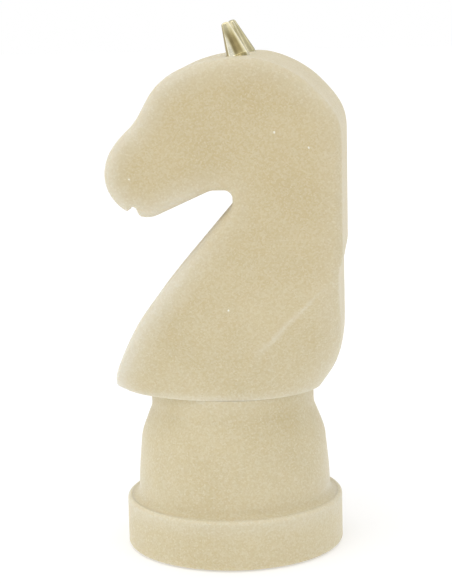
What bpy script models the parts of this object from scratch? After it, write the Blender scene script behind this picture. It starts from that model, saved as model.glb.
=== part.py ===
"""Giant lawn chess knight, built from the pieces it comes apart into.

Units are metres and +Z is up. The knight stands on its base pad with the origin in the middle of the
resting face. Its muzzle points along -X, its back along +X, and the flat sides of the head face -Y and +Y.
A cast head block, a turned stem and a foot plate are pulled together by one tie rod, located by dowels,
and two brass ears are screwed into sleeves in the crest.
"""
import math

import bmesh
import bpy
from mathutils import Matrix

# Driving dimensions of the whole piece
GAP = 0.0003
PAD_PROUD = 0.0008
FOOT_RADIUS = 0.0650
FOOT_HEIGHT = 0.0295
STEM_HEIGHT = 0.0669
HEAD_THICKNESS = 0.0968
EDGE_ROUND = 0.0045

# Heights that follow from them
FOOT_BOTTOM = PAD_PROUD
FOOT_TOP = FOOT_BOTTOM + FOOT_HEIGHT
STEM_BOTTOM = FOOT_TOP + GAP
NECK = FOOT_TOP + STEM_HEIGHT
HEAD_BOTTOM = NECK + GAP

# Stem: its bell curve, as radius, height over the foot plate, heading in degrees, reach before and after.
# It ends in a fillet that runs out on the foot plate.
NECK_RADIUS = 0.0486
STEM_EDGE_ROUND = 0.0006
STEM_RUNOUT = 0.0009
STEM_CURVE = (
    (NECK_RADIUS, 0.0576, -90, 0, 0.0040),
    (0.0508, 0.0496, -70, 0.0032, 0.0053),
    (0.0554, 0.0351, -85, 0.0045, 0.0070),
    (0.0576, 0.0058, -90, 0.0090, 0.0030),
    (0.0614, STEM_RUNOUT, -12, 0.0026, 0),
)
STEM_CURVE_STEPS = 4

# Foot plate
FOOT_TOP_ROUND = 0.0023
FOOT_LOWER_ROUND = 0.0020
FOOT_ROUND_STEPS = 4

# Head outline: x, height over the neck joint, heading in degrees, reach before, reach after.
# The outline runs up the back, over the crest, down the face and along the throat to the chest.
# It goes on below the joint, where the body envelope cuts it off level.
HEAD_OUTLINE = (
    (0.0360, -0.0200, 0, 0.0200, 0.0080),
    (0.0522, -0.0010, 57, 0.0070, 0.0040),
    (0.0607, 0.0102, 61, 0.0060, 0.0060),
    (0.0668, 0.0360, 90, 0.0100, 0.0080),
    (0.0661, 0.0725, 90, 0.0080, 0.0040),
    (0.0685, 0.0835, 90, 0.0045, 0.0200),
    (0.0686, 0.1490, 90, 0.0200, 0.0120),
    (0.0524, 0.1792, 135, 0.0160, 0.0115),
    (0.0170, 0.1954, 179, 0.0115, 0.0130),
    (-0.0255, 0.1874, 207, 0.0150, 0.0070),
    (-0.0400, 0.1740, 240, 0.0060, 0.0080),
    (-0.0500, 0.1580, 228, 0.0060, 0.0060),
    (-0.0660, 0.1303, 270, 0.0150, 0.0090),
    (-0.0545, 0.1106, 331, 0.0060, 0.0030),
    (-0.0415, 0.1066, 5, 0.0040, 0.0030),
    (-0.0350, 0.1085, 24, 0.0030, 0.0060),
    (-0.0078, 0.1207, 24, 0.0060, 0.0012),
    (-0.0040, 0.1215, 0, 0.0015, 0.0010),
    (0.0020, 0.1215, 0, 0.0010, 0.0028),
    (0.0068, 0.1165, 270, 0.0024, 0.0014),
    (0.0059, 0.1108, 229, 0.0014, 0.0060),
    (-0.0257, 0.0741, 229, 0.0080, 0.0100),
    (-0.0510, 0.0412, 241, 0.0100, 0.0080),
    (-0.0640, 0.0140, 251, 0.0080, 0.0040),
    (-0.0664, 0.0008, 270, 0.0040, 0.0080),
    (-0.0540, -0.0200, 0, 0.0080, 0.0200),
)
OUTLINE_STEPS = 5
EDGE_ROUND_STEPS = 3

# Body envelope: the lower part of the head block is trimmed from a flat slab to an oval
ENVELOPE_HEIGHT = 0.0840
ENVELOPE_TOP = 0.2100
ENVELOPE_CHEST = (0.0669, 0.2000)
ENVELOPE_BACK = (0.0541, 0.0570)
ENVELOPE_SIDE = (0.0484, 0.0191)
ENVELOPE_EDGE_ROUND = 0.0008
ENVELOPE_SIDES = 56
ENVELOPE_LEVELS = 9
ENVELOPE_ROUND_LEVELS = 3

# Mouth: a short notch in the underside of the muzzle
MOUTH_X = -0.0503
MOUTH_LIP = 0.1101
MOUTH_HALF_WIDTH = 0.0027
MOUTH_RISE = 0.0027
MOUTH_TILT = math.radians(-14)
MOUTH_FLARE = 1.25
MOUTH_DROP = 0.0120
MOUTH_ROUND_STEPS = 6

# Brass ears, each turned on an axis that leans forward and in, with a wide hollow down its outer side
EAR_X = 0.0095
EAR_SPREAD = 0.0215
EAR_CREST = 0.1952
EAR_LEAN = math.radians(21)
EAR_LEAN_IN = math.radians(7)
EAR_SINK = 0.0030
EAR_LENGTH = 0.0237
EAR_BASE_RADIUS = 0.0066
EAR_TIP_RADIUS = 0.0026
EAR_TIP_ARC = (75, 15)
EAR_TIP_STEPS = 4
EAR_SEAT_CUT = 0.0120
EAR_SCOOP_DEPTH = 0.0034
EAR_SCOOP_RADIUS = 0.0135
EAR_SCOOP_START = 0.0032
EAR_SCOOP_TURN = math.radians(12)

STUD_RADIUS = 0.0020
STUD_IN_EAR = 0.0060
STUD_IN_SLEEVE = 0.0120
SLEEVE_RADIUS = 0.0040
SLEEVE_LENGTH = 0.0150

# Tie rod and what holds it
ROD_RADIUS = 0.0040
ROD_CLEARANCE = 0.0010
ANCHOR_RADIUS = 0.0085
ANCHOR_LENGTH = 0.0380
ROD_IN_ANCHOR = 0.0320
WELL_RADIUS = 0.0170
WELL_CEILING = 0.0185
WASHER_RADIUS = 0.0150
WASHER_THICKNESS = 0.0025
SPRING_RADIUS = 0.0072
SPRING_THICKNESS = 0.0020
NUT_FLATS = 0.0130
NUT_SIDES = 6
NUT_THICKNESS = 0.0065
ROD_PAST_NUT = 0.0010

# Dowels, joint rings, well plug and base pad
DOWEL_RADIUS = 0.0040
DOWEL_LENGTH = 0.0220
DOWEL_REACH = 0.0290
RING_INNER_RADIUS = 0.0120
RING_OUTER_RADIUS = 0.0220
RING_THICKNESS = 0.0020
PLUG_THICKNESS = 0.0018
PLUG_LEDGE = 0.0030
PAD_RADIUS = 0.0590
PAD_THICKNESS = 0.0025

# How far cutting shapes run past the faces they open, and how finely round pieces are turned
OVERCUT = 0.0100
LARGE_STEPS = 64
MEDIUM_STEPS = 24
SMALL_STEPS = 16
WELD_DISTANCE = 0.00001


def clear_scene():
    """Remove every object, so that the file holds only this model."""
    for item in list(bpy.data.objects):
        bpy.data.objects.remove(item, do_unlink=True)


def new_collection(name):
    collection = bpy.data.collections.new(name)
    bpy.context.scene.collection.children.link(collection)
    return collection


def material(name, colour, roughness, metallic):
    """A Principled material of one colour."""
    made = bpy.data.materials.new(name)
    made.use_nodes = True
    shader = made.node_tree.nodes["Principled BSDF"]
    shader.inputs["Base Color"].default_value = (*colour, 1.0)
    shader.inputs["Roughness"].default_value = roughness
    shader.inputs["Metallic"].default_value = metallic
    return made


def add_object(name, mesh, collection, finish=None):
    item = bpy.data.objects.new(name, mesh)
    collection.objects.link(item)
    if finish is not None:
        mesh.materials.append(finish)
    return item


def shade_round(item, sharp_angle=35):
    item.data.shade_smooth()
    item.data.set_sharp_from_angle(angle=math.radians(sharp_angle))


def cylinder_mesh(name, radius, low, high, steps):
    """A closed cylinder about Z between two heights."""
    mesh = bpy.data.meshes.new(name)
    shape = bmesh.new()
    bmesh.ops.create_cone(
        shape, cap_ends=True, segments=steps, radius1=radius, radius2=radius, depth=high - low
    )
    bmesh.ops.translate(shape, verts=shape.verts, vec=(0, 0, (low + high) / 2))
    shape.to_mesh(mesh)
    shape.free()
    return mesh


def turned(name, profile, collection, finish, steps):
    """Turn a profile of (radius, height) points about Z. It starts and ends where it closes."""
    mesh = bpy.data.meshes.new(name)
    shape = bmesh.new()
    corners = [shape.verts.new((radius, 0, height)) for radius, height in profile]
    for first, second in zip(corners, corners[1:]):
        shape.edges.new((first, second))
    if profile[0][0] > 0:
        shape.edges.new((corners[-1], corners[0]))
    shape.to_mesh(mesh)
    shape.free()
    item = add_object(name, mesh, collection, finish)
    screw = item.modifiers.new("Turn", "SCREW")
    screw.axis = "Z"
    screw.angle = math.tau
    screw.steps = steps
    screw.render_steps = steps
    screw.use_merge_vertices = True
    screw.merge_threshold = WELD_DISTANCE
    screw.use_smooth_shade = False
    return item


def arc(centre, radius, start, end, steps):
    """Points on an arc, angles in degrees."""
    points = []
    for step in range(steps + 1):
        points.append(along(centre, start + (end - start) * step / steps, radius))
    return points


def along(point, heading, reach):
    """The point a distance away from another in a direction given in degrees."""
    angle = math.radians(heading)
    return (point[0] + reach * math.cos(angle), point[1] + reach * math.sin(angle))


def cubic(start, leave, arrive, end, steps):
    """Points along a Bezier curve, without its first point."""
    points = []
    for step in range(1, steps + 1):
        t = step / steps
        weights = ((1 - t) ** 3, 3 * t * (1 - t) ** 2, 3 * t * t * (1 - t), t ** 3)
        corners = (start, leave, arrive, end)
        points.append(tuple(sum(w * c[axis] for w, c in zip(weights, corners)) for axis in (0, 1)))
    return points


def ring(name, inner, outer, low, high, collection, finish, steps):
    """A flat ring or sleeve about Z."""
    profile = [(inner, high), (outer, high), (outer, low), (inner, low)]
    return turned(name, profile, collection, finish, steps)


def rod(name, radius, low, high, collection, finish):
    """A plain pin about Z."""
    profile = [(0, high), (radius, high), (radius, low), (0, low)]
    return turned(name, profile, collection, finish, SMALL_STEPS)


def cutter(name, mesh, cutters, parent=None):
    item = add_object(name, mesh, cutters)
    item.hide_render = True
    item.display_type = "WIRE"
    item.parent = parent
    return item


def boolean(item, tool, operation="DIFFERENCE"):
    change = item.modifiers.new(tool.name, "BOOLEAN")
    change.object = tool
    change.operation = operation
    change.solver = "EXACT"


def drill(item, name, radius, low, high, cutters, place=(0, 0), parent=None, steps=SMALL_STEPS):
    """Cut a round hole about Z between two heights."""
    tool = cutter(name, cylinder_mesh(name, radius, low, high, steps), cutters, parent)
    tool.location = (place[0], place[1], 0)
    boolean(item, tool)


def foot_plate(parts, cutters, finish):
    """The wide round foot, with soft rims, a pad recess and a nut well underneath."""
    top_edge = FOOT_RADIUS - FOOT_TOP_ROUND
    low_edge = FOOT_RADIUS - FOOT_LOWER_ROUND
    profile = [(0, FOOT_TOP)]
    profile += arc((top_edge, FOOT_TOP - FOOT_TOP_ROUND), FOOT_TOP_ROUND, 90, 0, FOOT_ROUND_STEPS)
    low_centre = (low_edge, FOOT_BOTTOM + FOOT_LOWER_ROUND)
    profile += arc(low_centre, FOOT_LOWER_ROUND, 0, -90, FOOT_ROUND_STEPS)
    profile.append((0, FOOT_BOTTOM))
    item = turned("foot_plate", profile, parts, finish, LARGE_STEPS)
    recess_top = PAD_THICKNESS + GAP
    drill(item, "pad_recess", PAD_RADIUS + GAP, -OVERCUT, recess_top, cutters, steps=LARGE_STEPS)
    drill(item, "nut_well", WELL_RADIUS, -OVERCUT, WELL_CEILING, cutters, steps=MEDIUM_STEPS)
    ledge_top = recess_top + PLUG_THICKNESS + GAP
    ledge = WELL_RADIUS + PLUG_LEDGE
    drill(item, "plug_ledge", ledge, -OVERCUT, ledge_top, cutters, steps=MEDIUM_STEPS)
    drill(item, "foot_bore", ROD_RADIUS + ROD_CLEARANCE, -OVERCUT, FOOT_TOP + OVERCUT, cutters)
    joint_holes(item, "foot", FOOT_TOP, -1, cutters)
    return item


def bell_curve():
    """Points down the side of the stem, from the end of its straight neck to the foot plate."""
    points = [(STEM_CURVE[0][0], FOOT_TOP + STEM_CURVE[0][1])]
    for first, second in zip(STEM_CURVE, STEM_CURVE[1:]):
        start = (first[0], FOOT_TOP + first[1])
        end = (second[0], FOOT_TOP + second[1])
        leave = along(start, first[2], first[4])
        arrive = along(end, second[2], -second[3])
        points += cubic(start, leave, arrive, end, STEM_CURVE_STEPS)
    return points


def stem(parts, cutters, finish):
    """The bell between foot and neck, with a ring groove in each end."""
    profile = [(0, NECK), (NECK_RADIUS - STEM_EDGE_ROUND, NECK), (NECK_RADIUS, NECK - STEM_EDGE_ROUND)]
    profile += bell_curve()
    profile += [(STEM_CURVE[-1][0], STEM_BOTTOM), (0, STEM_BOTTOM)]
    item = turned("stem", profile, parts, finish, LARGE_STEPS)
    bore = ROD_RADIUS + ROD_CLEARANCE
    drill(item, "stem_bore", bore, STEM_BOTTOM - OVERCUT, NECK + OVERCUT, cutters)
    joint_holes(item, "stem_low", STEM_BOTTOM, 1, cutters)
    joint_holes(item, "stem_top", NECK, -1, cutters)
    for end_name, face, depth in (("low", STEM_BOTTOM, RING_THICKNESS), ("top", NECK, -RING_THICKNESS)):
        groove_low = min(face - depth, face + depth)
        groove_high = max(face - depth, face + depth)
        outer = RING_OUTER_RADIUS + GAP
        drill(item, f"groove_{end_name}", outer, groove_low, groove_high, cutters, steps=MEDIUM_STEPS)
    return item


def joint_holes(item, name, face, direction, cutters):
    """Two dowel holes from a joint face; direction is +1 where the material is above the face."""
    depth = DOWEL_LENGTH / 2 + GAP
    low = face - GAP if direction > 0 else face - depth
    high = face + depth if direction > 0 else face + GAP
    for side, place in (("front", -DOWEL_REACH), ("back", DOWEL_REACH)):
        drill(item, f"{name}_hole_{side}", DOWEL_RADIUS + GAP, low, high, cutters, (place, 0))


def slab(parts, finish):
    """The head outline as a flat slab with softly rounded edges."""
    curve = bpy.data.curves.new("head_outline", "CURVE")
    curve.dimensions = "2D"
    curve.fill_mode = "BOTH"
    curve.extrude = HEAD_THICKNESS / 2
    curve.resolution_u = OUTLINE_STEPS
    spline = curve.splines.new("BEZIER")
    spline.bezier_points.add(len(HEAD_OUTLINE) - 1)
    spline.use_cyclic_u = True
    for point, (x, height, heading, before, after) in zip(spline.bezier_points, HEAD_OUTLINE):
        point.handle_left_type = "FREE"
        point.handle_right_type = "FREE"
        point.co = (x, height, 0)
        point.handle_left = (*along((x, height), heading, -before), 0)
        point.handle_right = (*along((x, height), heading, after), 0)
    outline = bpy.data.objects.new("head_outline", curve)
    parts.objects.link(outline)
    outline.rotation_euler = (math.radians(90), 0, 0)
    outline.location = (0, 0, HEAD_BOTTOM)
    bpy.context.view_layer.update()
    graph = bpy.context.evaluated_depsgraph_get()
    mesh = bpy.data.meshes.new_from_object(outline.evaluated_get(graph))
    mesh.name = "head_block"
    mesh.transform(outline.matrix_world)
    bpy.data.objects.remove(outline, do_unlink=True)
    shape = bmesh.new()
    shape.from_mesh(mesh)
    bmesh.ops.remove_doubles(shape, verts=shape.verts, dist=WELD_DISTANCE)
    bmesh.ops.recalc_face_normals(shape, faces=shape.faces)
    for side in (-1, 1):
        flat = [face for face in shape.faces if face.normal.y * side > 0.99]
        bmesh.ops.dissolve_faces(shape, faces=flat)
    weight = shape.edges.layers.float.new("bevel_weight_edge")
    for edge in shape.edges:
        on_a_face = edge.verts[0].co.y * edge.verts[1].co.y > 0
        edge[weight] = 1.0 if on_a_face else 0.0
    shape.to_mesh(mesh)
    shape.free()
    mesh.materials.clear()
    item = add_object("head_block", mesh, parts, finish)
    soften = item.modifiers.new("Soft edges", "BEVEL")
    soften.width = EDGE_ROUND
    soften.segments = EDGE_ROUND_STEPS
    soften.limit_method = "WEIGHT"
    soften.use_clamp_overlap = False
    return item


def envelope_section(height):
    """Chest reach, back reach and half width of the oval at a height over the joint."""
    t = height / ENVELOPE_HEIGHT
    chest = ENVELOPE_CHEST[0] + ENVELOPE_CHEST[1] * t
    back = ENVELOPE_BACK[0] + ENVELOPE_BACK[1] * t
    side = ENVELOPE_SIDE[0] + ENVELOPE_SIDE[1] * t * t
    return chest, back, side


def envelope(cutters):
    """An oval bowl, narrow at the neck and wider than the slab above it."""
    sections = []
    for level in range(ENVELOPE_ROUND_LEVELS):
        turn = math.pi / 2 * level / ENVELOPE_ROUND_LEVELS
        height = ENVELOPE_EDGE_ROUND * (1 - math.cos(turn))
        sections.append((height, ENVELOPE_EDGE_ROUND * (1 - math.sin(turn))))
    for level in range(ENVELOPE_LEVELS + 1):
        rise = (ENVELOPE_HEIGHT - ENVELOPE_EDGE_ROUND) * level / ENVELOPE_LEVELS
        sections.append((ENVELOPE_EDGE_ROUND + rise, 0))
    shape = bmesh.new()
    loops = []
    for height, inset in sections + [(ENVELOPE_TOP, 0)]:
        chest, back, side = envelope_section(min(height, ENVELOPE_HEIGHT))
        loop = []
        for step in range(ENVELOPE_SIDES):
            angle = math.tau * step / ENVELOPE_SIDES
            reach = back if math.cos(angle) > 0 else chest
            x = (reach - inset) * math.cos(angle)
            y = (side - inset) * math.sin(angle)
            loop.append(shape.verts.new((x, y, HEAD_BOTTOM + height)))
        loops.append(loop)
    for lower, upper in zip(loops, loops[1:]):
        for step in range(ENVELOPE_SIDES):
            following = (step + 1) % ENVELOPE_SIDES
            shape.faces.new((lower[step], lower[following], upper[following], upper[step]))
    shape.faces.new(list(reversed(loops[0])))
    shape.faces.new(loops[-1])
    mesh = bpy.data.meshes.new("body_envelope")
    shape.to_mesh(mesh)
    shape.free()
    return cutter("body_envelope", mesh, cutters)


def mouth(cutters):
    """A round-topped bar across the underside of the muzzle."""
    half = HEAD_THICKNESS / 2 + OVERCUT
    profile = arc((0, 0), MOUTH_HALF_WIDTH, 0, 180, MOUTH_ROUND_STEPS)
    profile += [(-MOUTH_HALF_WIDTH * MOUTH_FLARE, -MOUTH_DROP), (MOUTH_HALF_WIDTH, -MOUTH_DROP)]
    shape = bmesh.new()
    near = [shape.verts.new((x, -half, z)) for x, z in profile]
    shape.faces.new(near)
    swept = bmesh.ops.extrude_face_region(shape, geom=shape.faces[:])
    moved = [item for item in swept["geom"] if isinstance(item, bmesh.types.BMVert)]
    bmesh.ops.translate(shape, verts=moved, vec=(0, 2 * half, 0))
    bmesh.ops.recalc_face_normals(shape, faces=shape.faces)
    mesh = bpy.data.meshes.new("mouth_notch")
    shape.to_mesh(mesh)
    shape.free()
    tool = cutter("mouth_notch", mesh, cutters)
    tool.location = (MOUTH_X, 0, HEAD_BOTTOM + MOUTH_LIP + MOUTH_RISE - MOUTH_HALF_WIDTH)
    tool.rotation_euler = (0, MOUTH_TILT, 0)
    return tool


def ear_seat(name, side, parts):
    """An empty at the bottom of an ear's seat, leaning with the ear."""
    seat = bpy.data.objects.new(f"ear_seat_{name}", None)
    parts.objects.link(seat)
    sink = (EAR_SINK * math.sin(EAR_LEAN), EAR_SINK * math.cos(EAR_LEAN))
    seat.location = (EAR_X + sink[0], side * EAR_SPREAD, HEAD_BOTTOM + EAR_CREST - sink[1])
    lean = Matrix.Rotation(-EAR_LEAN, 3, "Y") @ Matrix.Rotation(side * EAR_LEAN_IN, 3, "X")
    seat.rotation_euler = lean.to_euler()
    return seat


def head_block(parts, cutters, seats, finish):
    """The cast head: slab, trimmed to the oval, with its mouth, joint holes and ear seats."""
    item = slab(parts, finish)
    boolean(item, envelope(cutters), "INTERSECT")
    boolean(item, mouth(cutters))
    bore_top = HEAD_BOTTOM + ANCHOR_LENGTH + GAP
    bore_low = HEAD_BOTTOM - OVERCUT
    drill(item, "anchor_bore", ANCHOR_RADIUS + GAP, bore_low, bore_top, cutters, steps=MEDIUM_STEPS)
    joint_holes(item, "head", HEAD_BOTTOM, 1, cutters)
    for name, seat in seats.items():
        hole_bottom = -SLEEVE_LENGTH - 2 * GAP
        seat_radius = EAR_BASE_RADIUS + GAP
        drill(item, f"sleeve_hole_{name}", SLEEVE_RADIUS + GAP, hole_bottom, GAP, cutters, parent=seat)
        drill(
            item,
            f"ear_recess_{name}",
            seat_radius,
            -GAP,
            EAR_SEAT_CUT,
            cutters,
            parent=seat,
            steps=MEDIUM_STEPS,
        )
    return item


def ear(name, side, seat, parts, cutters, finish):
    """A tapered brass ear with a blunt tip and a scoop down its outer side."""
    tip = EAR_LENGTH - EAR_TIP_RADIUS
    profile = [(0, EAR_LENGTH)]
    profile += arc((0, tip), EAR_TIP_RADIUS, *EAR_TIP_ARC, EAR_TIP_STEPS)
    profile += [(EAR_BASE_RADIUS, EAR_SINK), (EAR_BASE_RADIUS, 0), (0, 0)]
    item = turned(f"ear_{name}", profile, parts, finish, MEDIUM_STEPS)
    item.parent = seat
    boolean(item, ear_scoop(name, side, seat, cutters))
    stud_top = STUD_IN_EAR + GAP
    drill(item, f"stud_hole_{name}", STUD_RADIUS + GAP, -OVERCUT, stud_top, cutters, parent=seat)
    return item


def ear_scoop(name, side, seat, cutters):
    """The tapered bar that hollows an ear, turned a little towards the back."""
    scoop_mesh = bpy.data.meshes.new(f"ear_scoop_{name}")
    shape = bmesh.new()
    length = EAR_LENGTH - EAR_SCOOP_START
    bmesh.ops.create_cone(
        shape,
        cap_ends=True,
        segments=LARGE_STEPS,
        radius1=EAR_SCOOP_RADIUS,
        radius2=EAR_SCOOP_RADIUS * EAR_TIP_RADIUS / EAR_BASE_RADIUS,
        depth=length,
    )
    shape.to_mesh(scoop_mesh)
    shape.free()
    scoop = cutter(f"ear_scoop_{name}", scoop_mesh, cutters, seat)
    base_out = EAR_BASE_RADIUS + EAR_SCOOP_RADIUS - EAR_SCOOP_DEPTH
    tip_out = base_out * EAR_TIP_RADIUS / EAR_BASE_RADIUS
    middle = (base_out + tip_out) / 2
    place = (middle * math.sin(EAR_SCOOP_TURN), side * middle * math.cos(EAR_SCOOP_TURN))
    scoop.location = (*place, EAR_SCOOP_START + length / 2)
    turn = Matrix.Rotation(-side * EAR_SCOOP_TURN, 3, "Z")
    tilt = Matrix.Rotation(side * math.atan2(base_out - tip_out, length), 3, "X")
    scoop.rotation_euler = (turn @ tilt).to_euler()
    return scoop


def ear_fixings(name, seat, parts, steel, brass):
    """The stud that joins an ear to the sleeve set in the stone."""
    stud = rod(f"ear_stud_{name}", STUD_RADIUS, -STUD_IN_SLEEVE, STUD_IN_EAR, parts, steel)
    stud.parent = seat
    floor = -SLEEVE_LENGTH - GAP
    inner = STUD_RADIUS + GAP
    sleeve = ring(f"ear_sleeve_{name}", inner, SLEEVE_RADIUS, floor, -2 * GAP, parts, brass, SMALL_STEPS)
    sleeve.parent = seat


def tie_parts(parts, cutters, steel, brass):
    """The rod through the whole height, its anchor in the head, and washers and nut in the well."""
    rod_top = HEAD_BOTTOM + ROD_IN_ANCHOR
    washer_top = WELL_CEILING - GAP
    washer_low = washer_top - WASHER_THICKNESS
    spring_top = washer_low - GAP
    spring_low = spring_top - SPRING_THICKNESS
    nut_top = spring_low - GAP
    nut_low = nut_top - NUT_THICKNESS
    hole = ROD_RADIUS + GAP
    rod("tie_rod", ROD_RADIUS, nut_low - ROD_PAST_NUT, rod_top, parts, steel)
    anchor_top = HEAD_BOTTOM + ANCHOR_LENGTH
    ring("head_anchor", hole, ANCHOR_RADIUS, HEAD_BOTTOM + GAP, anchor_top, parts, brass, MEDIUM_STEPS)
    ring("tie_washer", hole, WASHER_RADIUS, washer_low, washer_top, parts, steel, MEDIUM_STEPS)
    ring("spring_washer", hole, SPRING_RADIUS, spring_low, spring_top, parts, steel, MEDIUM_STEPS)
    corner_radius = NUT_FLATS / 2 / math.cos(math.pi / NUT_SIDES)
    nut_mesh = cylinder_mesh("tie_nut", corner_radius, nut_low, nut_top, NUT_SIDES)
    nut = add_object("tie_nut", nut_mesh, parts, steel)
    drill(nut, "nut_thread", hole, nut_low - OVERCUT, nut_top + OVERCUT, cutters)


def dowels(parts, finish):
    """Two dowels across each stone joint, which stop the castings from turning."""
    for joint, face in (("head", NECK + GAP / 2), ("foot", FOOT_TOP + GAP / 2)):
        for side, place in (("front", -DOWEL_REACH), ("back", DOWEL_REACH)):
            low = face - DOWEL_LENGTH / 2
            pin = rod(f"{joint}_dowel_{side}", DOWEL_RADIUS, low, low + DOWEL_LENGTH, parts, finish)
            pin.location = (place, 0, 0)


def soft_parts(parts, rubber, plastic):
    """Joint rings in the stem's grooves, the plug under the nut, and the pad that it all stands on."""
    low_ring = STEM_BOTTOM + GAP / 2
    top_ring = NECK - RING_THICKNESS + GAP
    thick = RING_THICKNESS - 2 * GAP
    inner = RING_INNER_RADIUS
    outer = RING_OUTER_RADIUS
    ring("foot_joint_ring", inner, outer, low_ring, low_ring + thick, parts, rubber, MEDIUM_STEPS)
    ring("head_joint_ring", inner, outer, top_ring, top_ring + thick, parts, rubber, MEDIUM_STEPS)
    plug_low = PAD_THICKNESS + GAP
    plug_radius = WELL_RADIUS + PLUG_LEDGE - GAP
    plug_mesh = cylinder_mesh("well_plug", plug_radius, plug_low, plug_low + PLUG_THICKNESS, MEDIUM_STEPS)
    add_object("well_plug", plug_mesh, parts, plastic)
    pad_mesh = cylinder_mesh("base_pad", PAD_RADIUS, 0, PAD_THICKNESS, LARGE_STEPS)
    add_object("base_pad", pad_mesh, parts, rubber)


def build():
    clear_scene()
    parts = new_collection("giant_chess_knight")
    cutters = new_collection("cutters")
    stone = material("cast_stone", (0.66, 0.57, 0.38), 0.75, 0.0)
    brass = material("brass", (0.55, 0.44, 0.20), 0.30, 1.0)
    steel = material("steel", (0.55, 0.55, 0.53), 0.35, 1.0)
    rubber = material("rubber", (0.05, 0.05, 0.05), 0.80, 0.0)
    plastic = material("plastic", (0.12, 0.12, 0.12), 0.50, 0.0)
    sides = {"near": -1, "far": 1}
    seats = {name: ear_seat(name, side, parts) for name, side in sides.items()}
    foot_plate(parts, cutters, stone)
    stem(parts, cutters, stone)
    head_block(parts, cutters, seats, stone)
    for name, side in sides.items():
        ear(name, side, seats[name], parts, cutters, brass)
        ear_fixings(name, seats[name], parts, steel, brass)
    tie_parts(parts, cutters, steel, brass)
    dowels(parts, steel)
    soft_parts(parts, rubber, plastic)
    for item in parts.objects:
        if item.type == "MESH":
            shade_round(item)


build()
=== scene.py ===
"""Looks of the giant lawn chess knight: cast stone, brass ears, the hardware inside and a soft studio.

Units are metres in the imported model's frame: +Z up, muzzle towards -X, flat sides facing -Y and +Y.
"""
import math

import bmesh
import bpy
import numpy as np
from mathutils import Matrix, Vector
from mathutils.kdtree import KDTree


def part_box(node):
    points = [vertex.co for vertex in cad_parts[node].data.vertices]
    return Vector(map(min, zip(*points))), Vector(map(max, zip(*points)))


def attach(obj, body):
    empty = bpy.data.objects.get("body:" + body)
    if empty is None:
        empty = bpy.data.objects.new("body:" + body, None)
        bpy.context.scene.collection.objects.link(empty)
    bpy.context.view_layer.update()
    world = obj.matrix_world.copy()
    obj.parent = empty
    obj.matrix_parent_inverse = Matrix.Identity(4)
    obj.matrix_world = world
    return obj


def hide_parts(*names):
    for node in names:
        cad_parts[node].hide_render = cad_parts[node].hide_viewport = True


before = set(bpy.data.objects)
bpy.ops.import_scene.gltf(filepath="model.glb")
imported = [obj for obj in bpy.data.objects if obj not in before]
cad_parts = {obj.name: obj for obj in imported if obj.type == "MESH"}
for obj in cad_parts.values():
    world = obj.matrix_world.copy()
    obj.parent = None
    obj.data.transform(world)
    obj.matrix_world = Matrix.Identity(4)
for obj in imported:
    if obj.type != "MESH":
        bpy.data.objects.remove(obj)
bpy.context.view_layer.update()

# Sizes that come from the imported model
HEAD_LOW, HEAD_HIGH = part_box("head_block")
FOOT_LOW, FOOT_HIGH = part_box("foot_plate")
PAD_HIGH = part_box("base_pad")[1]
NECK_JOINT = HEAD_LOW[2]
HEAD_HALF = HEAD_HIGH[1]
FOOT_BOTTOM = FOOT_LOW[2]
FOOT_TOP = FOOT_HIGH[2]
FOOT_RADIUS = FOOT_HIGH[0]

# Play between parts that fit into one another, and how far a cutting tool reaches past a surface
GAP = 0.0003
OVERCUT = 0.0010

# Head outline: x, height over the neck joint, heading in degrees, reach before, reach after.
# It runs up the back, over the crest, down the face, along the throat and down the chest.
HEAD_OUTLINE = (
    (0.0360, -0.0200, 0, 0.0200, 0.0080),
    (0.0522, -0.0010, 57, 0.0070, 0.0040),
    (0.0607, 0.0102, 61, 0.0060, 0.0060),
    (0.0668, 0.0360, 90, 0.0100, 0.0080),
    (0.0661, 0.0725, 90, 0.0080, 0.0040),
    (0.0685, 0.0835, 90, 0.0045, 0.0200),
    (0.0686, 0.1490, 90, 0.0200, 0.0120),
    (0.0524, 0.1792, 135, 0.0160, 0.0115),
    (0.0170, 0.1954, 179, 0.0115, 0.0130),
    (-0.0255, 0.1874, 207, 0.0150, 0.0070),
    (-0.0400, 0.1740, 240, 0.0060, 0.0080),
    (-0.0500, 0.1580, 228, 0.0060, 0.0060),
    (-0.0660, 0.1303, 270, 0.0150, 0.0090),
    (-0.0545, 0.1106, 331, 0.0060, 0.0030),
    (-0.0415, 0.1066, 5, 0.0040, 0.0030),
    (-0.0350, 0.1085, 24, 0.0030, 0.0060),
    (-0.0078, 0.1207, 24, 0.0060, 0.0012),
    (-0.0040, 0.1215, 0, 0.0015, 0.0010),
    (0.0020, 0.1215, 0, 0.0010, 0.0028),
    (0.0068, 0.1165, 270, 0.0024, 0.0014),
    (0.0059, 0.1108, 229, 0.0014, 0.0060),
    (-0.0257, 0.0741, 229, 0.0080, 0.0100),
    (-0.0510, 0.0412, 241, 0.0100, 0.0080),
    (-0.0640, 0.0140, 251, 0.0080, 0.0040),
    (-0.0664, 0.0008, 270, 0.0040, 0.0080),
    (-0.0540, -0.0200, 0, 0.0080, 0.0200),
)
OUTLINE_SPACING = 0.0012
RELIEF_SPACING = 0.0004
EDGE_ROUND = 0.0045
EDGE_STEPS = 6

# The oval bowl that trims the lower head, with its reaches as (at the joint, growth up to OVAL_HEIGHT).
# It starts a little below the joint and ends at OVAL_TOP.
OVAL_HEIGHT = 0.0840
OVAL_TOP = 0.2100
OVAL_CHEST = (0.0669, 0.2000)
OVAL_BACK = (0.0541, 0.0570)
OVAL_SIDE = (0.0484, 0.0191)
OVAL_FOOT = -0.0044
OVAL_STEPS = 160
OVAL_LEVELS = 36

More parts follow.
